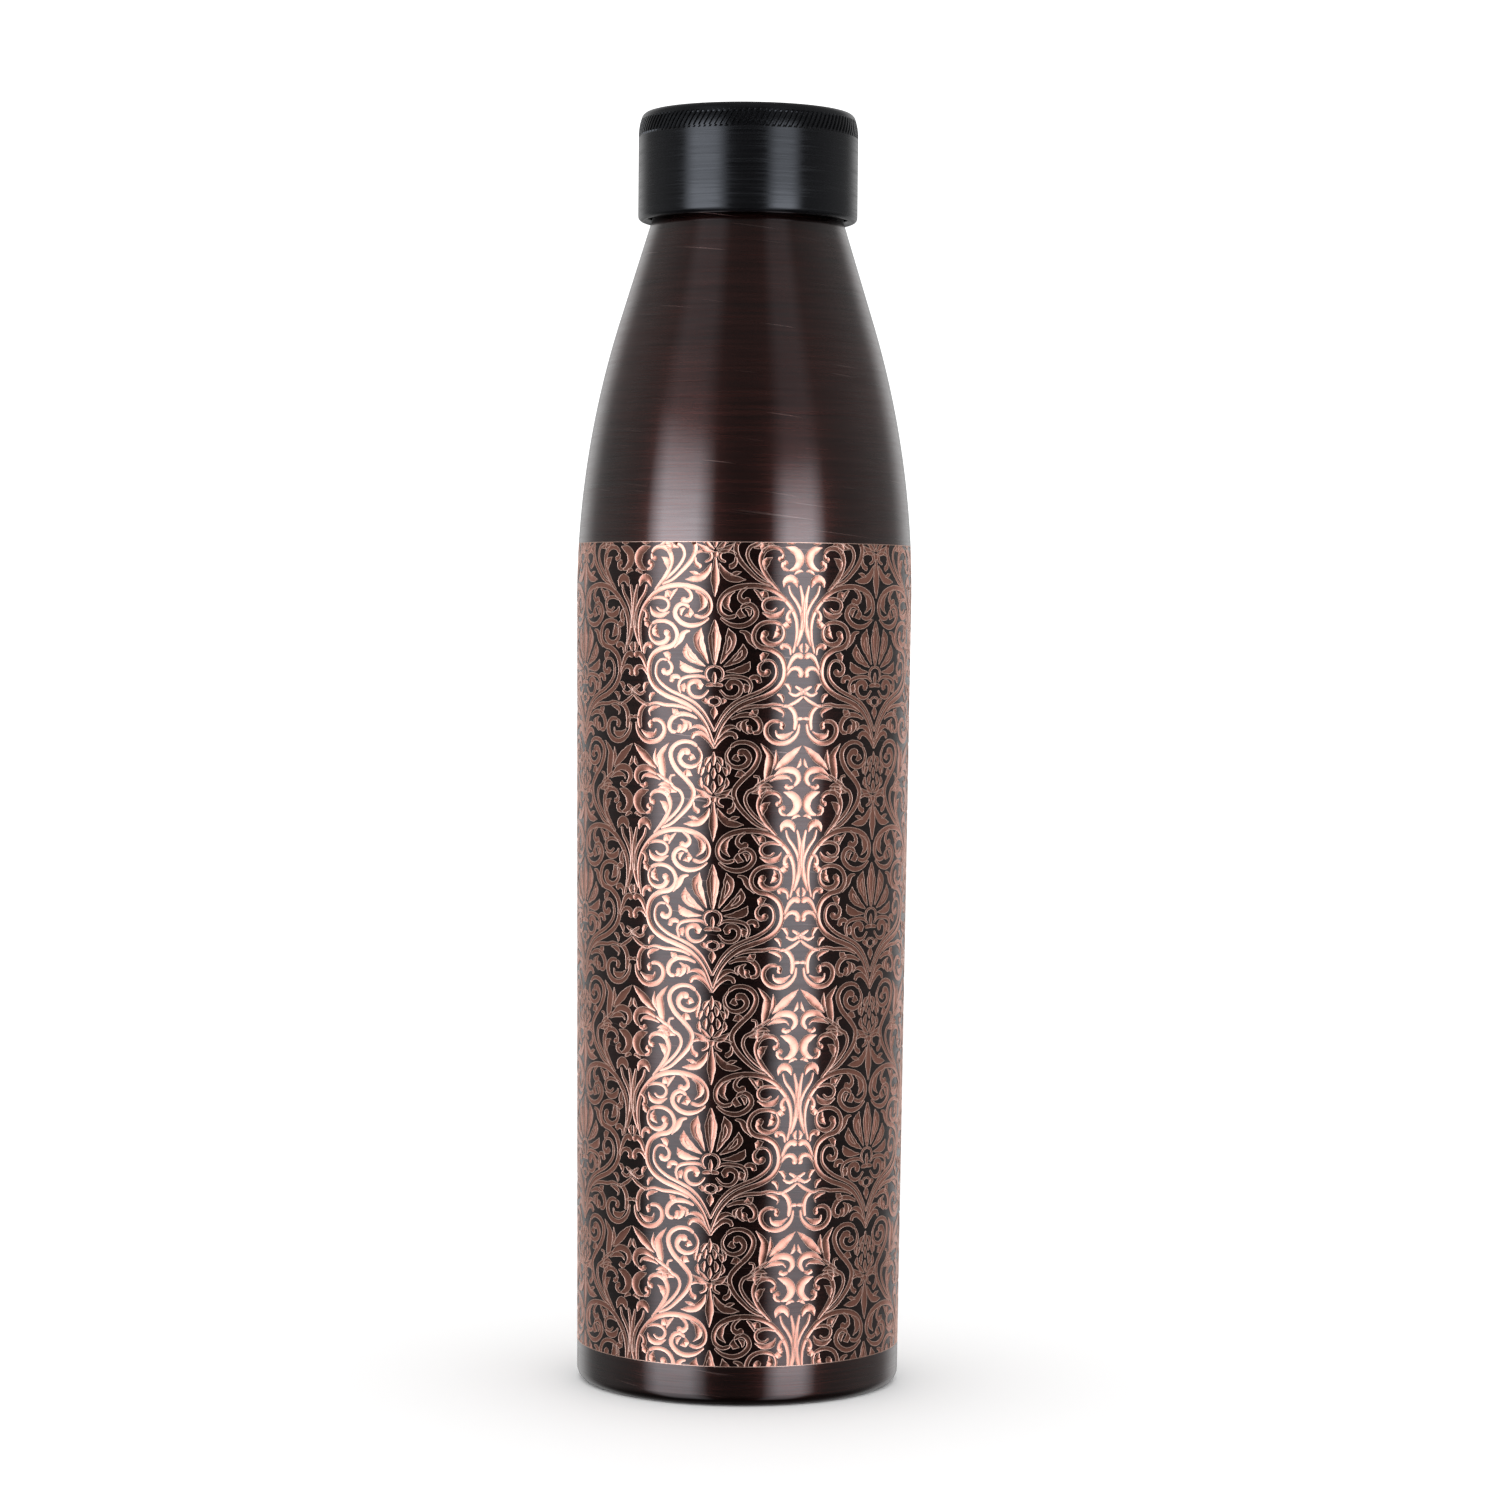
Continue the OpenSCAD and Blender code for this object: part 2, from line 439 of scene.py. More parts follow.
def body_side(shape, depth):
    """The body's side from the foot lip to the neck's edge, at a depth inside the outer surface."""
    foot = shape.foot_width / 2
    widest = shape.width / 2
    neck = shape.neck_width / 2
    slope = shape.shoulder_slope
    reach = (widest - shape.shoulder_radius - neck - shape.neck_fillet) * math.cos(slope)
    fillet = shape.shoulder_height + (reach + shape.shoulder_radius + shape.neck_fillet) / math.sin(slope)
    roll = (foot - shape.foot_radius, shape.foot_radius)
    shoulder = (widest - shape.shoulder_radius, shape.shoulder_height)
    throat = (neck + shape.neck_fillet, fillet)
    rolled = arc(roll, shape.foot_radius - depth, -math.pi / 2, 0, 8)
    curve = arc(shoulder, shape.shoulder_radius - depth, 0, slope, 36)
    return (
        [(roll[0] - shape.foot_lip, depth)]
        + rolled
        + between(rolled[-1], curve[0], 24)
        + curve
        + arc(throat, shape.neck_fillet + depth, math.pi + slope, math.pi, 6)
        + [(neck - depth, shape.neck_top)]
    )


def body_radius(shape, height):
    """The body's outer radius below its shoulder's end, at a height."""
    foot = shape.foot_width / 2
    widest = shape.width / 2
    if height > shape.shoulder_height:
        rise = height - shape.shoulder_height
        return widest - shape.shoulder_radius + math.sqrt(shape.shoulder_radius**2 - rise**2)
    share = (height - shape.foot_radius) / (shape.shoulder_height - shape.foot_radius)
    return foot + (widest - foot) * share


def etched_side(shape, band):
    """The body's outer side with the band's ground sunk into it."""
    side = body_side(shape, 0)
    low, high, depth = band.bottom, band.top, band.depth
    edge = depth / 2
    below = [point for point in side if point[1] < low - edge]
    ground = [(radius - depth, height) for radius, height in side if low < height < high]
    above = [point for point in side if point[1] > high + edge]
    first = [(body_radius(shape, low), low - edge), (body_radius(shape, low) - depth, low + edge)]
    last = [(body_radius(shape, high) - depth, high - edge), (body_radius(shape, high), high + edge)]
    return below + first + ground + last + above


def cap_side(cap, depth, knurl_rows):
    """The cap's outside from the hem up to the middle of the top, at a depth inside it."""
    outer = cap.width / 2
    turn = cap.corner_turn
    lean = cap.corner_radius * math.sin(turn) + cap.edge_radius * (1 - math.sin(turn))
    corner = (outer - cap.corner_radius, cap.top - lean)
    reach = (cap.corner_radius - cap.edge_radius) * math.cos(turn)
    edge = (corner[0] + reach, cap.top - cap.edge_radius)
    hem = (outer - cap.hem_radius, cap.bottom + cap.hem_radius)
    return (
        arc(hem, cap.hem_radius - depth, -math.pi / 2, 0, 6)
        + between((outer - depth, hem[1]), (outer - depth, cap.knurl_bottom), 3)
        + [(outer - depth, cap.knurl_bottom - gap * MM) for gap in (0.3, 0.02)]
        + arc(corner, cap.corner_radius - depth, 0, turn, knurl_rows)
        + arc(edge, cap.edge_radius - depth, turn, math.pi / 2, 7)[1:]
        + [(12 * MM, cap.top - depth), (0, cap.top - depth)]
    )


def hem_side(cap, depth):
    """The hem's inner leg, from its upper end down and round to the lowest point."""
    outer = cap.width / 2
    middle = (outer - cap.hem_radius, cap.bottom + cap.hem_radius)
    leg = (middle[0] - cap.hem_radius + depth, middle[1] + cap.hem_leg)
    return [leg] + arc(middle, cap.hem_radius - depth, math.pi, 1.5 * math.pi, 6)[:-1]


# Meshes


def link(name, made, materials, body, replaced):
    """Makes the object of a bmesh or a finished mesh and says what it rides on and stands for."""
    mesh = closed_mesh(made, name) if isinstance(made, bmesh.types.BMesh) else made
    for material in materials:
        mesh.materials.append(material)
    mesh.shade_smooth()
    mesh.set_sharp_from_angle(angle=SHARP)
    piece = bpy.data.objects.new(name, mesh)
    bpy.context.scene.collection.objects.link(piece)
    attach(piece, body)
    if replaced:
        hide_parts(replaced)
    return piece


def closed_mesh(bm, name):
    """The mesh of a bmesh, once its faces point outwards and no edge is open."""
    bmesh.ops.remove_doubles(bm, verts=bm.verts, dist=MERGED)
    bmesh.ops.recalc_face_normals(bm, faces=bm.faces)
    gaps = [edge for edge in bm.edges if not edge.is_manifold]
    if gaps:
        raise RuntimeError(f"{name} has {len(gaps)} open edges")
    mesh = bpy.data.meshes.new(name)
    bm.to_mesh(mesh)
    bm.free()
    return mesh


def spin(bm, parts, turn, steps, rise=0, merge=False):
    """Turns parts round the bottle's axis in steps, each a rise higher than the last."""
    bmesh.ops.spin(
        bm, geom=parts, cent=(0, 0, 0), axis=(0, 0, 1), dvec=(0, 0, rise), angle=turn, steps=steps,
        use_merge=merge, use_normal_flip=False, use_duplicate=False,
    )


def lathe(outline, steps):
    """A bmesh of an outline spun full circle. It is a loop, unless both its ends are on the axis."""
    bm = bmesh.new()
    points = [bm.verts.new((radius, 0, height)) for radius, height in outline]
    on_axis = outline[0][0] == 0 and outline[-1][0] == 0
    pairs = list(zip(points, points[1:])) + ([] if on_axis else [(points[-1], points[0])])
    edges = [bm.edges.new(pair) for pair in pairs]
    spin(bm, points + edges, math.tau, steps, merge=True)
    bmesh.ops.remove_doubles(bm, verts=bm.verts, dist=MERGED)
    return bm


def ridge(bm, thread, radius, side, low, turns):
    """A thread ridge. side is 1 where it stands out and -1 where it stands in; its ends taper away."""
    steps = 96  # for one turn
    fade = 0.08  # of a turn, at each end
    sunk = radius - side * 0.2 * MM
    crest = radius + side * thread.height
    section = [
        (sunk, -thread.root / 2), (sunk, thread.root / 2),
        (crest, thread.crest / 2), (crest, -thread.crest / 2),
    ]
    start = math.tau * turns[0]
    base = low + thread.pitch * turns[0]
    corners = [
        bm.verts.new((r * math.cos(start), r * math.sin(start), base + rise)) for r, rise in section
    ]
    face = bm.faces.new(corners)
    made = round((turns[1] - turns[0]) * steps)
    before = set(bm.verts) - set(corners)
    spin(bm, [face, *face.edges, *corners], math.tau * made / steps, made, thread.pitch / steps)
    for vert in set(bm.verts) - before:
        reach = vert.co.xy.length
        if (reach - radius) * side <= 0:
            continue
        turn = (vert.co.z - low) / thread.pitch
        share = min(1, (turn - turns[0]) / fade + 0.1, (turns[1] - turn) / fade + 0.1)
        new = sunk + (reach - sunk) * max(0.4, share)
        vert.co.xy = vert.co.xy * (new / reach)


def smooth_path(points, step):
    """Stops along a smooth curve through the points, each with its place and direction.

    They are a step apart, with more of them where the two ends are rounded."""
    knots = [Vector(point) for point in points]
    knots = [knots[0] * 2 - knots[1], *knots, knots[-1] * 2 - knots[-2]]
    fine = []
    for before, first, last, after in zip(knots, knots[1:], knots[2:], knots[3:]):
        out = first + (last - before) / 6
        back = last - (after - first) / 6
        fine += interpolate_bezier(first, out, back, last, 9)[:-1]
    fine.append(knots[-2])
    reach = [0]
    for first, last in zip(fine, fine[1:]):
        reach.append(reach[-1] + (last - first).length)
    total = reach[-1]
    parts = max(3, round(total / step))
    stops = [total * i / parts for i in range(parts + 1)]
    stops = sorted({0.06, 0.2, *stops, total - 0.2, total - 0.06})
    path = []
    at = 0
    for stop in stops:
        while at < len(fine) - 2 and reach[at + 1] < stop:
            at += 1
        run = fine[at + 1] - fine[at]
        path.append((stop, fine[at] + run * ((stop - reach[at]) / run.length), run.normalized()))
    return path


# A stroke's finest sizes in millimetres: its step, half its width at an end and its outline's slope
STROKE_STEP = 0.55
STROKE_END = 0.05
LIP = 0.04


def engrave(bm, band, points, widths, lift):
    """One raised stroke of the band: two outlines, bright with a paler copper that is partly a painted
    highlight, with a lower floor between them.
    """
    path = smooth_path(points, STROKE_STEP)
    total = path[-1][0]
    face = None
    for stop, middle, run in path:
        share = stop / total * (len(widths) - 1)
        at = min(int(share), len(widths) - 2)
        ease = share - at
        half = widths[at] + (widths[at + 1] - widths[at]) * ease * ease * (3 - 2 * ease)
        room = min(stop, total - stop) / half
        if room < 1:
            half = max(STROKE_END, half * math.sqrt(room * (2 - room)))
        lip = min(LIP, half * 0.3)
        rim = min(band.rim, half * 0.8)
        section = [
            (-half, -band.sunk), (lip - half, band.crest), (rim - half, band.floor),
            (half - rim, band.floor), (half - lip, band.crest), (half, -band.sunk),
        ]
        side = Vector((-run.y, run.x))
        ring = [(*(middle + side * across), height + lift) for across, height in section]
        if face is None:
            face = bm.faces.new([bm.verts.new(point) for point in ring])
            continue
        made = bmesh.ops.extrude_face_region(bm, geom=[face])["geom"]
        face = next(part for part in made if isinstance(part, bmesh.types.BMFace))
        for vert, point in zip(face.verts, ring):
            vert.co = point
        for edge in face.edges:
            for wall in edge.link_faces:
                if wall is not face:
                    heights = sorted(vert.co.z - lift for vert in wall.verts)
                    is_floor = abs(heights[-1] - band.floor) < 0.001 and heights[0] > 0
                    wall.material_index = 1 if is_floor else 0


# The band's drawing. Each stroke has its half-widths from start to end, then the points it runs through,
# in millimetres from a bow's knot: to the right, then up. It is half a tile; the other half mirrors it.

THREAD = (0.28, 0.34, 0.28)
VINE = (0.3, 0.42, 0.42, 0.3)
STEM = (0.34, 0.56, 0.6, 0.45)
CURL = (0.3, 0.45, 0.6, 0.8)
LEAF = (0.2, 0.9, 0.15)
BEAD = (0.2, 0.6, 0.2)
SPUR = (0.2, 0.5, 0.15)

BOW = (
    (VINE, (4.5, 0.2), (3.2, 0.8), (1.7, 0.8), (0.9, 0.1), (1.1, -0.9), (2.3, -1.5)),
    (CURL, (4.3, -0.4), (4.4, -1.4), (3.7, -2.3), (2.9, -2.3)),
    ((0.2, 0.7, 0.9, 0.7, 0.15), (0.8, -1.7), (1.8, -3.6), (3.6, -4.9), (6.6, -5.2)),
    (SPUR, (3.2, -4.2), (4.5, -3.8), (5.6, -3.5)),
    ((0.3, 0.5, 0.9, 1, 0.6, 0.15), (0, -0.4), (0, -4), (0, -8.8)),
    ((0.5, 0.8, 0.5), (-0.7, 0), (0, 0.1), (0.7, 0)),
)

BUD = (
    ((0.2, 0.75, 0.15), (0.3, 0.7), (2, 1), (4, 2.4)),
    ((0.2, 0.55, 0.15), (0.2, 1.2), (1.4, 2), (2.6, 3.4)),
    (BEAD, (0, 1.5), (0, 2.8), (0, 4)),
    (BEAD, (2.4, 2.4), (2.9, 3.6), (2.7, 4.8)),
    (BEAD, (1.3, 3), (1.5, 4.2), (1.1, 5.4)),
    (BEAD, (2.7, 5), (2.6, 6.1), (1.9, 7)),
    (BEAD, (0, 4.4), (0, 5.6), (0, 6.8)),
    ((0.2, 0.55, 0.2), (1.1, 5.8), (1.2, 6.8), (0.7, 7.9)),
    ((0.2, 0.55, 0.15), (1.9, 7.2), (1.5, 8.4), (0.5, 9.2)),
    ((0.2, 0.6, 0.15), (0, 7.2), (0, 8.6), (0, 10.2)),
    (SPUR, (3.3, 5.4), (3.3, 6.8), (2.5, 8.2)),
)

PALMETTE = (
    ((0.35, 0.8, 1.25, 1.45, 0.9, 0.3), (0, 28.4), (0, 33), (0, 38)),
    ((0.15, 0.35, 0.6, 0.7, 0.2), (0, 29.4), (0, 33), (0, 36.6)),
    ((0.2, 0.65, 1.15, 1.2, 0.15), (1.3, 28.7), (2.5, 31.2), (3.5, 33.6), (2.9, 36.3)),
    ((0.12, 0.4, 0.55, 0.15), (2.4, 30.8), (3.2, 32.8), (3.1, 34.6)),
    ((0.2, 0.6, 1.05, 1.1, 0.15), (1.9, 28.1), (4, 29.3), (5.9, 30.9), (6.1, 33)),
    ((0.12, 0.35, 0.5, 0.15), (3.9, 29.2), (5.2, 30.3), (5.9, 31.6)),
    ((0.2, 0.45, 0.85, 0.95, 0.15), (2.4, 27.1), (4.8, 27.3), (6.7, 27.9), (7.6, 29.3)),
    (THREAD, (0, 28.2), (1.3, 27.8), (1.9, 26.6), (1.5, 25.4)),
    ((0.4, 0.5, 0.35), (-0.3, 24.3), (0.9, 24.3), (1.9, 24.1)),
    ((0.3, 0.55, 0.25), (0, 24.4), (0, 25.6), (0, 27)),
)

VOLUTE = (
    (CURL,
        (1.2, 23.2), (2.6, 21.8), (4.4, 21.7), (5.6, 22.8), (5.6, 24.3), (4.2, 25), (3, 24.3), (3.7, 23.4),
    ),
    (VINE, (1, 25), (2.7, 26), (5.2, 26), (7.2, 25.4), (7.9, 24), (7.4, 22.4)),
    (CURL[1:], (7.4, 25.6), (8.6, 26), (9.5, 25.5), (9.3, 24.7)),
    (LEAF, (6.5, 22.7), (6.9, 23.5), (6.4, 24.6)),
    (THREAD, (0, 19.8), (1.1, 20.2), (1.2, 21.3), (0, 21.8)),
    ((0.2, 0.9, 0.15), (0, 19.9), (0, 18.7), (0, 17)),
    ((0.2, 0.7, 0.3), (1.1, 20.2), (1.9, 20.9), (2.7, 21)),
)

HEART = (
    (STEM,
        (0, 11.6), (1.5, 15.4), (3.3, 18), (5.6, 19.9), (8.2, 21), (11, 22), (13.5, 23.6), (14.9, 25.8),
        (15, 28.3), (14.1, 30.4), (12, 31.8), (9.8, 32.3), (8.5, 33.5), (8.3, 35), (9.1, 36.6), (10.7, 37.5),
        (12.7, 37.6), (14.4, 37),
    ),
    (CURL, (14.3, 37), (14.9, 35.5), (14.4, 33.8), (12.8, 32.9), (11, 33.3), (10.3, 34.6), (11.3, 35.6)),
    (LEAF, (13.2, 36.9), (13.6, 35.4), (12.4, 34.1)),
    (LEAF, (14.2, 37), (15.4, 37), (16.3, 38)),
    ((0.2, 0.75, 0.3), (9, 31.9), (7.8, 33.4), (6.7, 35.2), (5.3, 35.6)),
    (VINE,
        (0, 14.4), (1, 16.4), (2.4, 18.6), (4.4, 20.5), (6.9, 21.8), (9.8, 23), (12, 24.5), (13.2, 26.2),
        (13.1, 28.3), (12, 29.5), (10.5, 29.4),
    ),
    (CURL, (10.5, 29.4), (9.5, 28.3), (9.7, 27), (10.9, 26.6), (11.7, 27.6)),
    (LEAF, (10, 29.3), (10.4, 30.4), (11.6, 30.9)),
)

SCROLL = (
    (STEM,
        (16.8, 31), (17.5, 34), (17.6, 37), (17, 39.4), (15.6, 41.6), (13.4, 43.7), (10.6, 44.9), (7.5, 45.2),
        (4.4, 44.7), (2.2, 43.5), (1, 41.6), (1.2, 39.6), (2.8, 38.5), (4.6, 38.9),
    ),
    (STEM,
        (1.2, 38.4), (3.1, 37.1), (5.5, 36.7), (7.6, 37.5), (8.8, 39.1), (8.3, 40.7), (6.9, 41.3),
        (5.5, 40.5),
    ),
    (LEAF, (5.5, 40.5), (5.3, 39.2), (6.7, 38.7)),
    (BEAD, (6.4, 40.4), (7.4, 39.8), (7.3, 38.7)),
    (LEAF, (4.3, 44), (2.7, 42.9), (2.4, 41), (3.7, 39.6)),
    (CURL, (7, 44.9), (5.6, 43.9), (5.2, 42.6), (6.3, 41.8), (7.4, 42.5)),
    ((0.2, 0.5, 0.2), (8.2, 44.5), (9.4, 43.4), (10, 42)),
    (STEM, (18.2, 45.4), (18.9, 42), (19, 38.5), (18.4, 35), (17.4, 32.4)),
)

WHIRL = (
    (VINE, (15.2, 42), (12.9, 42.6), (11, 42.3), (10.2, 41.2), (10.8, 40), (12.2, 39.8), (13.2, 40.6)),
    (LEAF, (11.2, 42.4), (10.6, 43.3), (9.3, 43.8)),
    ((0.2, 0.6, 0.7, 0.2), (10, 39.6), (12, 38.8), (14, 39.3), (14.8, 40.7)),
    (CURL, (16.9, 40.2), (15.8, 39.6), (15.6, 38.2), (16.4, 37.6)),
)

TULIP = (
    ((0.2, 0.75, 0.9, 0.75, 0.2), (14.6, 44.9), (15.1, 46.3), (16.1, 46.8), (17.1, 46.3), (17.6, 44.9)),
    (VINE, (15.7, 45.4), (16.2, 43.6), (17.6, 41.6), (18.6, 39.2), (18.6, 36)),
    ((0.2, 0.9, 1.1, 0.8, 0.3), (15, 53.4), (17.3, 52.5), (18.2, 50.8), (17.4, 49.1), (15.8, 48.4)),
    (CURL, (15.8, 48.4), (14.6, 48.9), (14.6, 49.9), (15.6, 50)),
    ((0.2, 0.5, 0.2), (16.9, 47.6), (18, 48.4), (18.9, 48.2)),
)

FAN = (
    (STEM,
        (13.7, 44.1), (11.4, 46.7), (10.2, 48.7), (9.7, 50.7), (10.4, 52.5), (12, 53.3), (13.7, 53),
        (14.6, 52),
    ),
    (CURL, (14.6, 52), (14.3, 50.9), (13.3, 50.9)),
    (LEAF, (10.2, 52), (10.3, 53.4), (11.4, 54.4)),
    (LEAF, (10.6, 48.4), (10.8, 50.2), (12.2, 51.2)),
    (VINE,
        (12.4, 45.4), (9.4, 47.8), (7.6, 49.8), (6.8, 51.7), (7.4, 53.3), (8.7, 54), (9.7, 55.2),
        (9.6, 56.5), (8.5, 56.7),
    ),
    (LEAF, (8.1, 53.1), (10, 53.6), (11.2, 54.8), (12.7, 54.4)),
    (STEM,
        (12, 45.4), (9.4, 46.4), (6.9, 48.6), (5.2, 50.6), (4.4, 52.6), (4.7, 54.2), (6.4, 56.2),
        (8.3, 58), (9.4, 59.9), (9.6, 61.6), (8.7, 63), (7, 63.8), (5, 63.7), (3.6, 62.8),
    ),
    (CURL,
        (3.6, 62.8), (2.7, 61.1), (3.3, 59.3), (5, 58.5), (6.8, 59), (7.6, 60.4), (6.6, 61.8), (5.1, 61.4),
    ),
    (LEAF, (5.1, 61.4), (4.7, 60.4), (5.7, 60.1)),
    (LEAF, (7, 57), (5.9, 57.2), (4.6, 56.6)),
)

BRANCH = (
    (VINE, (4.8, 18.6), (6.5, 19.4), (8.6, 19.8), (11, 19.9), (13, 20.3), (15, 20)),
    ((0.2, 0.55, 0.3), (14.8, 20.6), (14.5, 21.9), (13.4, 22.4)),
    ((0.2, 0.55, 0.15), (12.2, 19.6), (14, 19.2), (15, 18.4), (14.6, 17.5)),
    (STEM, (14.4, 19.9), (16, 19.8), (17.2, 18.6), (17.6, 16.8), (17.3, 14.8)),
    (STEM,
        (18.4, 16.2), (18, 14.2), (16.5, 12.6), (14.6, 12), (12.5, 12.5), (11.2, 14), (11.3, 15.7),
        (12.6, 16.7), (14.2, 16.6),
    ),
    (CURL[1:], (14.2, 16.6), (14.8, 15.8), (14.2, 15.1)),
    ((0.2, 0.75, 0.2), (17.1, 14.6), (15.4, 13.5), (13.6, 13.7), (13.2, 14.9)),
    (VINE, (17.6, 17), (18.4, 17.3), (19.3, 17.2)),
)

KNOT = (
    (VINE, (19.9, 22.2), (18.7, 23.3), (17.3, 24.1)),
    (VINE, (19.9, 23.6), (18.6, 22.7), (17.4, 22.1), (15.9, 22.8)),
    (VINE, (19.2, 22), (17.6, 20.8), (15.4, 19.7)),
    ((0.2, 0.6, 0.15), (16.4, 22.8), (16, 24.1), (14.9, 24.6)),
    (CURL, (15.2, 26.6), (16, 28.3), (16.8, 29.9), (18, 30.7), (19, 30)),
    (CURL, (15.4, 26.2), (16.4, 27.6), (17.8, 27.9), (18.7, 27), (18.2, 26)),
    (CURL, (16.3, 30.6), (16.2, 32.1), (15, 32.7), (14.1, 31.9)),
    (BEAD, (18.9, 33.2), (18.4, 32), (19, 31.2)),
)

ACANTHUS = (
    (STEM, (3.6, 17.1), (5.6, 17.9), (7.7, 18), (9.3, 17.1), (10, 15.6), (9.5, 14.4), (8.3, 14.2)),
    (LEAF, (7.4, 18), (8.6, 18.4), (9.4, 19.2)),
    (CURL[1:], (8.3, 14.2), (7.4, 14.9), (7.8, 15.8)),
    ((0.2, 0.7, 0.3), (7.4, 17), (6.4, 16.4), (6.5, 15), (7.5, 14)),
    ((0.2, 0.5, 0.2), (6, 16.7), (5.2, 15.8), (5.6, 14.6)),
    ((0.3, 0.6, 0.5), (0, 10.8), (1.4, 12.9), (3, 14), (4.4, 13.8), (4.8, 12.8)),
    (BEAD, (0.8, 12.8), (2.3, 14.9), (4, 15.5), (5.4, 14.9)),
)

FLAG = (
    ((0.25, 0.9, 1.1, 0.6, 0.12), (11, 3.9), (11.8, 7), (12, 9.4), (10, 12)),
    ((0.2, 0.6, 0.12), (12.6, 6.6), (13.4, 8.4), (13.3, 10.7)),
    ((0.2, 0.8, 1, 0.7, 0.12), (13.1, 6.4), (15.8, 8.8), (19, 11.6)),
    (VINE, (8.9, 3), (10.4, 3.8), (12.9, 5.3)),
    ((0.3, 0.7, 0.8, 0.7, 0.4), (12.9, 5.1), (15.2, 6.4), (17.6, 6.1), (18.4, 4.5), (17.4, 3)),
    (CURL, (17.4, 3), (16.2, 2.6), (15.4, 3.3)),
    (BEAD, (12, 4), (14.2, 4.9), (16.2, 4.8), (16.9, 3.9)),
    (SPUR, (17.9, 6.8), (18.6, 7.6), (18.8, 8.9)),
    (SPUR, (9.4, 2.2), (11.2, 2.6), (12.9, 1.9)),
)

DAMASK = (BOW, BUD, PALMETTE, VOLUTE, HEART, SCROLL, WHIRL, TULIP, FAN, BRANCH, KNOT, ACANTHUS, FLAG)

# How much higher a stroke lies than the one before, so that no two share a surface, in millimetres
OVERLAP = 0.0012


def draw_half_tile(band):
    """The mesh of half a tile of the drawing, on the flat: across, up and out in millimetres."""
    bm = bmesh.new()
    strokes = [stroke for motif in DAMASK for stroke in motif]
    for place, (widths, *points) in enumerate(strokes):
        engrave(bm, band, points, widths, OVERLAP * (place % 9))
    flat = bpy.data.meshes.new("half_tile")
    bm.to_mesh(flat)
    bm.free()
    return flat


def flat_column(band):
    """The mesh of one whole column, on the flat, cut off at the band's two borders."""
    half = draw_half_tile(band)
    bm = bmesh.new()
    for row in range(-1, 5):
        knot = band.first_knot / MM - band.tile_height * row
        for side in (1, -1):
            made = len(bm.verts)
            bm.from_mesh(half)
            bm.verts.ensure_lookup_table()
            new = bm.verts[made:]
            bmesh.ops.scale(bm, vec=(side, 1, 1), verts=new)
            bmesh.ops.translate(bm, vec=(0, knot, OVERLAP / 2 * (1 + side)), verts=new)
    for height, out in ((band.bottom / MM, -1), (band.top / MM, 1)):
        cut = bmesh.ops.bisect_plane(
            bm, geom=[*bm.verts, *bm.edges, *bm.faces], dist=0.0001,
            plane_co=(0, height, 0), plane_no=(0, out, 0), clear_outer=True,
        )["geom_cut"]
        edges = [part for part in cut if isinstance(part, bmesh.types.BMEdge)]
        bmesh.ops.holes_fill(bm, edges=edges, sides=0)
    bmesh.ops.recalc_face_normals(bm, faces=bm.faces)
    column = bpy.data.meshes.new("column")
    bm.to_mesh(column)
    bm.free()
    bpy.data.meshes.remove(half)
    return column


# Operators

BODY_STEPS = 256
NECK_STEPS = 192
PLATE_STEPS = 160


class BOTTLE_OT_body(bpy.types.Operator):
    """Spins the brown body from one closed outline, with a darker ground where the band is etched"""

    bl_idname = "bottle.body"
    bl_label = "Body"

    def execute(self, context):
        shape = settings().shape
        band = settings().band
        bm = lathe(etched_side(shape, band) + body_side(shape, shape.wall)[::-1], BODY_STEPS)
        for face in bm.faces:
            middle = face.calc_center_median()
            skin = body_radius(shape, middle.z) - middle.xy.length
            if band.bottom < middle.z < band.top and skin < shape.wall / 2:
                face.material_index = 1
        finish = settings().finish
        paints = [
            antique_copper("antique_copper", finish, 1),
            antique_copper("etched_ground", finish, 0.6, 0.6),
        ]
        link("body", bm, paints, "bottle", "body_shell")
        return {"FINISHED"}


class BOTTLE_OT_base(bpy.types.Operator):
    """Spins the pan that closes the foot"""

    bl_idname = "bottle.base"
    bl_label = "Base"

    def execute(self, context):
        shape = settings().shape
        rim = shape.foot_width / 2 - shape.wall
        top = PAN_HIGH.z
        low = PAN_LOW.z
        bend = 2 * MM
        wall = shape.wall
        under = top - wall
        middle = (rim - bend, top - bend)
        outside = [(rim, low)] + arc(middle, bend, 0, QUARTER, 8) + [(20 * MM, top), (0, top)]
        inside = [(rim - wall, low)] + arc(middle, bend - wall, 0, QUARTER, 8)
        inside += [(24 * MM, under), (23.2 * MM, under - 0.4 * MM), (22.4 * MM, under), (0, under)]
        bm = lathe(inside[::-1] + outside, PLATE_STEPS)
        paint = satin_copper("base_copper", settings().finish.raw_copper)
        link("base_pan", bm, [paint], "bottle", "base_cup")
        return {"FINISHED"}


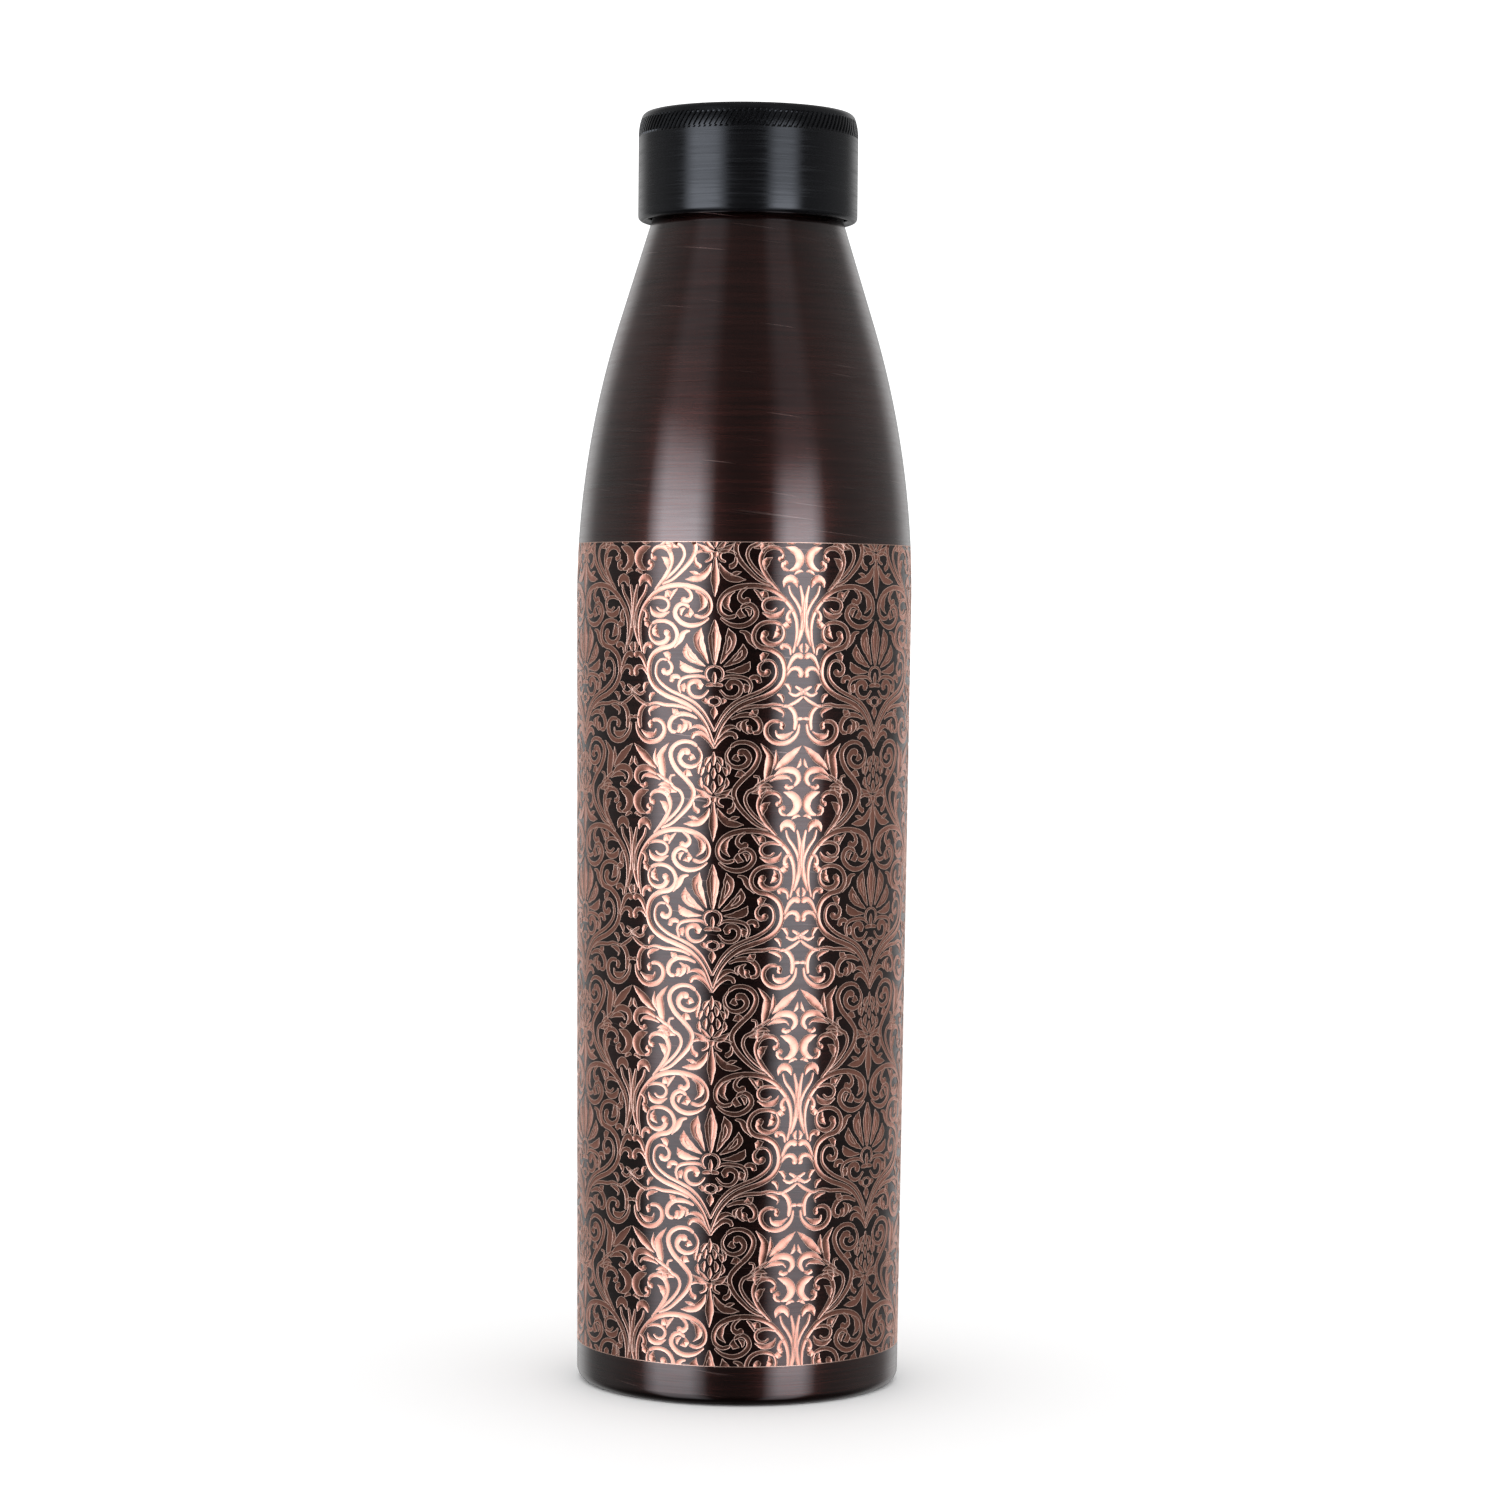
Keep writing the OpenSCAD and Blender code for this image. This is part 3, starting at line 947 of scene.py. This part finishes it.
class BOTTLE_OT_neck(bpy.types.Operator):
    """Spins the threaded neck with its collar and drinking lip"""

    bl_idname = "bottle.neck"
    bl_label = "Neck"

    def execute(self, context):
        shape = settings().shape
        thread = settings().thread
        outer = shape.neck_width / 2
        inner = outer - shape.wall
        root = thread.neck_width / 2
        collar = shape.neck_top + 1 * MM
        bead = root + 0.2 * MM
        mouth = shape.mouth_width / 2
        lip = shape.lip_height
        outline = [
            (inner - 1 * MM, RING_LOW.z), (inner, RING_LOW.z), (inner, shape.neck_top),
            (outer, shape.neck_top), (outer, collar - 0.2 * MM), (outer - 0.2 * MM, collar), (root, collar),
            (root, lip - 1.6 * MM), (bead, lip - 1.4 * MM),
        ]
        outline += arc((bead - 0.8 * MM, lip - 0.8 * MM), 0.8 * MM, 0, QUARTER, 8)
        outline += [
            (mouth + 0.2 * MM, lip), (mouth, lip - 0.2 * MM), (mouth, shape.neck_top),
            (inner - 1 * MM, shape.neck_top - 1 * MM),
        ]
        bm = lathe(outline, NECK_STEPS)
        ridge(bm, thread, root, 1, thread.start, (0, 1.875))
        paint = satin_copper("neck_copper", settings().finish.raw_copper)
        link("neck_thread", bm, [paint], "bottle", "neck_ring")
        return {"FINISHED"}


class BOTTLE_OT_cap(bpy.types.Operator):
    """Spins the black cap with its rolled hem, and cuts the slanted knurl under its top edge"""

    bl_idname = "bottle.cap"
    bl_label = "Cap"

    faces = 6  # round one groove and the rib beside it
    sunk = 3  # columns of points in the groove
    slope = 0.35 * MM  # height over which a groove runs out

    def execute(self, context):
        cap = settings().cap
        inner = cap_side(cap, cap.wall, 6)[::-1] + hem_side(cap, cap.wall)[::-1]
        outer = hem_side(cap, 0) + cap_side(cap, 0, 14)
        steps = cap.grooves * self.faces
        bm = lathe(inner + outer, steps)
        middle = cap.width / 2 - cap.wall / 2 - 1 * MM
        tall = cap.knurl_top - cap.knurl_bottom
        for vert in bm.verts:
            radius = vert.co.xy.length
            height = vert.co.z
            climb = (height - cap.knurl_bottom) / tall
            spare = min(height - cap.knurl_bottom, cap.knurl_top - height) / self.slope
            on_skin = radius > middle and height > cap.bottom + 5 * MM
            outside = on_skin and radius > self.skin(cap, height) - cap.wall / 2
            if outside and spare > 0:
                place = round(math.atan2(vert.co.y, vert.co.x) / math.tau * steps) % self.faces
                if place < self.sunk:
                    vert.co.xy *= 1 - cap.knurl_depth * min(1, spare) / radius
            twist = cap.knurl_slant / (cap.width / 2) * min(1, max(0, climb))
            vert.co = Matrix.Rotation(twist, 3, "Z") @ vert.co
        paint = black_lacquer(settings().finish, cap.top)
        piece = link("cap", bm, [paint], "cap", "cap_shell")
        for face in piece.data.polygons:
            height = face.center.z
            if cap.knurl_bottom - 0.02 * MM < height < cap.knurl_top and face.center.xy.length > middle:
                face.use_smooth = False
        return {"FINISHED"}

    @staticmethod
    def skin(cap, height):
        """The cap's outer radius at a height under its top edge."""
        turn = cap.corner_turn
        low = cap.top - cap.corner_radius * math.sin(turn) - cap.edge_radius * (1 - math.sin(turn))
        rise = max(0, height - low)
        return cap.width / 2 - cap.corner_radius + math.sqrt(cap.corner_radius**2 - rise**2)


class BOTTLE_OT_liner(bpy.types.Operator):
    """Spins the threaded liner and the disc inside the cap"""

    bl_idname = "bottle.liner"
    bl_label = "Cap liner"

    def execute(self, context):
        cap = settings().cap
        thread = settings().thread
        clear = settings().shape.neck_width / 2 + 0.4 * MM
        skirt = 23 * MM
        shell = cap.width / 2 - cap.wall
        root = thread.liner_width / 2
        step = thread.start - 1.2 * MM
        shoulder = 270.9 * MM
        flange = shoulder + 1.5 * MM
        sleeve = skirt - 0.4 * MM
        outline = [
            (clear, LINER_LOW.z), (skirt, LINER_LOW.z), (skirt, shoulder), (shell, shoulder),
            (shell, flange), (sleeve, flange), (sleeve, LINER_HIGH.z),
            (root, LINER_HIGH.z), (root, step), (clear, step - 0.2 * MM),
        ]
        finish = settings().finish
        paint = satin_copper("liner_copper", finish.raw_copper)
        bm = lathe(outline, NECK_STEPS)
        ridge(bm, thread, root, -1, thread.start + thread.pitch / 2, (-0.5, 1.25))
        link("cap_thread", bm, [paint], "cap", "cap_liner")

        edge = DISC_HIGH.x
        low, high = DISC_LOW.z, DISC_HIGH.z
        chamfer = 0.1 * MM
        outline = [
            (0, low), (9 * MM, low), (9.6 * MM, low + 0.25 * MM), (10.2 * MM, low), (edge - chamfer, low),
            (edge, low + chamfer), (edge, high - chamfer), (edge - chamfer, high), (0, high),
        ]
        link("cap_plate", lathe(outline, 128), [paint], "cap", "cap_disc")
        return {"FINISHED"}


class BOTTLE_OT_washer(bpy.types.Operator):
    """Spins the silicone washer with rounded edges"""

    bl_idname = "bottle.washer"
    bl_label = "Washer"

    def execute(self, context):
        inner = settings().cap.seal_hole / 2
        outer = SEAL_HIGH.x
        soft = 0.4 * MM
        low, high = SEAL_LOW.z + soft, SEAL_HIGH.z - soft
        corners = ((outer - soft, low), (outer - soft, high), (inner + soft, high), (inner + soft, low))
        outline = []
        for place, corner in enumerate(corners, -1):
            outline += arc(corner, soft, place * QUARTER, (place + 1) * QUARTER, 5)
        paint = soft_silicone(settings().finish)
        link("washer_ring", lathe(outline, PLATE_STEPS), [paint], "washer", "seal")
        return {"FINISHED"}


class BOTTLE_OT_borders(bpy.types.Operator):
    """Spins the fine lines that close the band above and below, bright with the outline's paler copper, which
    is partly a painted highlight
    """

    bl_idname = "bottle.borders"
    bl_label = "Band borders"

    def execute(self, context):
        shape = settings().shape
        band = settings().band
        # The border lines share the outline's paler copper, partly bare copper and partly a painted
        # highlight.
        paint = etched_copper("border_copper_highlight", settings().finish.etched_rim_highlight, 0.32, 0.01 * MM)
        half = 0.13 * MM
        root = 0.16 * MM
        skin = 0.01 * MM
        sides = ((-half, root), (-half * 0.7, skin), (half * 0.7, skin), (half, root))
        for name, height in (("band_border_low", band.bottom), ("band_border_high", band.top)):
            section = [
                (body_radius(shape, height + rise) - sunk, height + rise) for rise, sunk in sides
            ]
            link(name, lathe(section, BODY_STEPS), [paint], "bottle", None)
        return {"FINISHED"}


class BOTTLE_OT_damask(bpy.types.Operator):
    """Draws half a tile of damask, mirrors it, repeats it up each column and wraps it round the body"""

    bl_idname = "bottle.damask"
    bl_label = "Etched damask"

    def execute(self, context):
        shape = settings().shape
        band = settings().band
        finish = settings().finish
        # The outlines take the paler copper, partly a painted highlight on the raised edges; the inside is
        # plain copper.
        paints = [
            etched_copper("etched_outline_highlight", finish.etched_rim_highlight, 0.38, 0.012 * MM, 0.9),
            etched_copper("etched_inside", finish.etched_floor, 0.14, 0.004 * MM),
        ]
        column = flat_column(band)
        turn = math.tau / band.columns / band.tile_width
        for place in range(band.columns):
            name = f"etched_damask_{place + 1}"
            mesh = column.copy()
            mesh.name = name
            first = band.first_column + math.tau / band.columns * place
            for vert in mesh.vertices:
                around, height, out = vert.co
                height *= MM
                radius = body_radius(shape, height) - band.depth + out * MM
                azimuth = first + around * turn
                vert.co = (radius * math.sin(azimuth), -radius * math.cos(azimuth), height)
            link(name, mesh, paints, "bottle", None)
        bpy.data.meshes.remove(column)
        return {"FINISHED"}


class BOTTLE_OT_stage(bpy.types.Operator):
    """Sets up the camera, the pale floor, the strip lights and the white room"""

    bl_idname = "bottle.stage"
    bl_label = "Camera and light"

    def execute(self, context):
        stage = settings().stage
        scene = context.scene
        scene.view_settings.view_transform = "Standard"
        lens = bpy.data.cameras.new("camera")
        lens.lens = stage.lens
        lens.sensor_width = 36
        lens.clip_start = 0.01
        camera = bpy.data.objects.new("camera", lens)
        scene.collection.objects.link(camera)
        camera.location = (stage.sideways, -stage.distance, stage.height)
        down = Matrix.Rotation(math.pi / 2 - stage.tilt, 4, "X")
        lean = Matrix.Rotation(stage.roll, 4, "Z")
        camera.matrix_world = Matrix.Translation(camera.location) @ down @ lean
        scene.camera = camera

        bm = bmesh.new()
        bmesh.ops.create_circle(bm, cap_ends=True, segments=96, radius=6)
        floor = self.put("floor", bm, pale_floor(settings().finish))
        floor.visible_glossy = False

        self.softbox("left_strip", -45.7, 50.5, 13, stage.strip_power, 0.7, 0.05)
        self.softbox("right_strip", 37.7, 39.3, 11, stage.strip_power * 1.05, 0.6, 0.04)
        self.room(scene)
        return {"FINISHED"}

    @staticmethod
    def put(name, bm, material):
        """Makes a piece of the stage."""
        mesh = bpy.data.meshes.new(name)
        bm.to_mesh(mesh)
        bm.free()
        mesh.materials.append(material)
        piece = bpy.data.objects.new(name, mesh)
        bpy.context.scene.collection.objects.link(piece)
        return piece

    @staticmethod
    def away(paint, x, y, azimuth=0.0):
        """How far a direction is from an azimuth, in radians. The front is at 0."""
        azimuth_to = paint.node("Math", {"operation": "ARCTAN2"}, {0: x, 1: y * -1.0})
        return paint.node("Math", {"operation": "ABSOLUTE"}, {0: azimuth_to - azimuth})

    def softbox(self, name, azimuth, spread, soft, power, top, tail):
        """A curved soft light beside the camera: part of a drum that glows inwards.

        It spreads over some degrees, its sides fade over soft degrees, and above its top it is dim."""
        reach, low, high = 1.25, -2.2, 2.2
        start = math.radians(azimuth - spread / 2)
        bm = bmesh.new()
        ends = [
            bm.verts.new((reach * math.sin(start), -reach * math.cos(start), z)) for z in (low, high)
        ]
        spin(bm, [*ends, bm.edges.new(ends)], math.radians(spread), 12)
        paint = Paint(name)
        x, y, z = paint.place()
        off = self.away(paint, x, y, math.radians(azimuth))
        edge_fade = paint.ramp(off, math.radians(spread / 2), math.radians(spread / 2 - soft))
        top_fade = paint.ramp(z, top, top - 0.34) * (1 - tail) + paint.ramp(z, high - 0.1, 1.3) * tail
        foot_fade = paint.ramp(z, -0.5, 0.2) * 0.75 + paint.ramp(z, low + 0.1, -0.7) * 0.25
        glow = edge_fade * top_fade * foot_fade
        shine = paint.node("Emission", values={"Color": (0.95, 0.98, 1.05, 1), "Strength": glow * power})
        clear = paint.node("BsdfTransparent")
        both = paint.node("AddShader", values={0: shine, 1: clear})
        paint.feed(paint.tree.nodes["Material Output"].inputs["Surface"], both)
        box = self.put(name, bm, paint.material)
        box.visible_camera = False
        box.visible_diffuse = False
        box.visible_shadow = False

    def room(self, scene):
        """White for the camera and soft light. Reflections see a dim room, lighter behind the bottle."""
        world = bpy.data.worlds.new("room")
        scene.world = world
        paint = Paint("room", world)
        x, y, z = paint.place("Generated")
        around = self.away(paint, x, y)
        off = paint.node("Math", {"operation": "ABSOLUTE"}, {0: around - math.radians(152)})
        strips = paint.ramp(off, math.radians(24), math.radians(6)) * paint.ramp(z, 0.75, 0.3)
        beside = paint.ramp(y, -1.0, 0.2)
        behind = paint.ramp(y, 0.42, 0.85)
        seen = beside * 0.19 + behind * 0.08 + strips * 0.38 + 0.04
        seen = seen * (paint.ramp(z, -0.7, -0.15) * 0.85 + 0.15)
        glossy = paint.node("LightPath", output="Is Glossy Ray")
        strength = glossy * seen + (1 - glossy) * 1.35
        background = paint.tree.nodes["Background"].inputs
        paint.feed(background["Color"], (1, 1, 1, 1))
        paint.feed(background["Strength"], strength)


class BOTTLE_PT_sidebar(bpy.types.Panel):
    """Lists the bottle's pieces, sizes and colours"""

    bl_idname = "BOTTLE_PT_sidebar"
    bl_label = "Copper Water Bottle"
    bl_space_type = "VIEW_3D"
    bl_region_type = "UI"
    bl_category = "Bottle"

    def draw(self, context):
        bottle = context.scene.bottle
        for operator in OPERATORS:
            self.layout.operator(operator.bl_idname)
        for group in (bottle.shape, bottle.cap, bottle.thread, bottle.band, bottle.finish, bottle.stage):
            box = self.layout.box()
            for name in group.__annotations__:
                box.prop(group, name)


OPERATORS = (
    BOTTLE_OT_stage, BOTTLE_OT_body, BOTTLE_OT_base, BOTTLE_OT_neck, BOTTLE_OT_cap, BOTTLE_OT_liner,
    BOTTLE_OT_washer, BOTTLE_OT_borders, BOTTLE_OT_damask,
)
GROUPS = (BottleShape, CapShape, ThreadShape, BandShape, Finishes, StageSetup, Bottle)


def register():
    for kind in (*GROUPS, *OPERATORS, BOTTLE_PT_sidebar):
        bpy.utils.register_class(kind)
    bpy.types.Scene.bottle = group(Bottle, "Bottle", "The copper water bottle")


def unregister():
    del bpy.types.Scene.bottle
    for kind in reversed((*GROUPS, *OPERATORS, BOTTLE_PT_sidebar)):
        bpy.utils.unregister_class(kind)


def main():
    register()
    bpy.ops.bottle.stage()
    bpy.ops.bottle.body()
    bpy.ops.bottle.base()
    bpy.ops.bottle.neck()
    bpy.ops.bottle.cap()
    bpy.ops.bottle.liner()
    bpy.ops.bottle.washer()
    bpy.ops.bottle.borders()
    bpy.ops.bottle.damask()


if __name__ == "__main__":
    main()
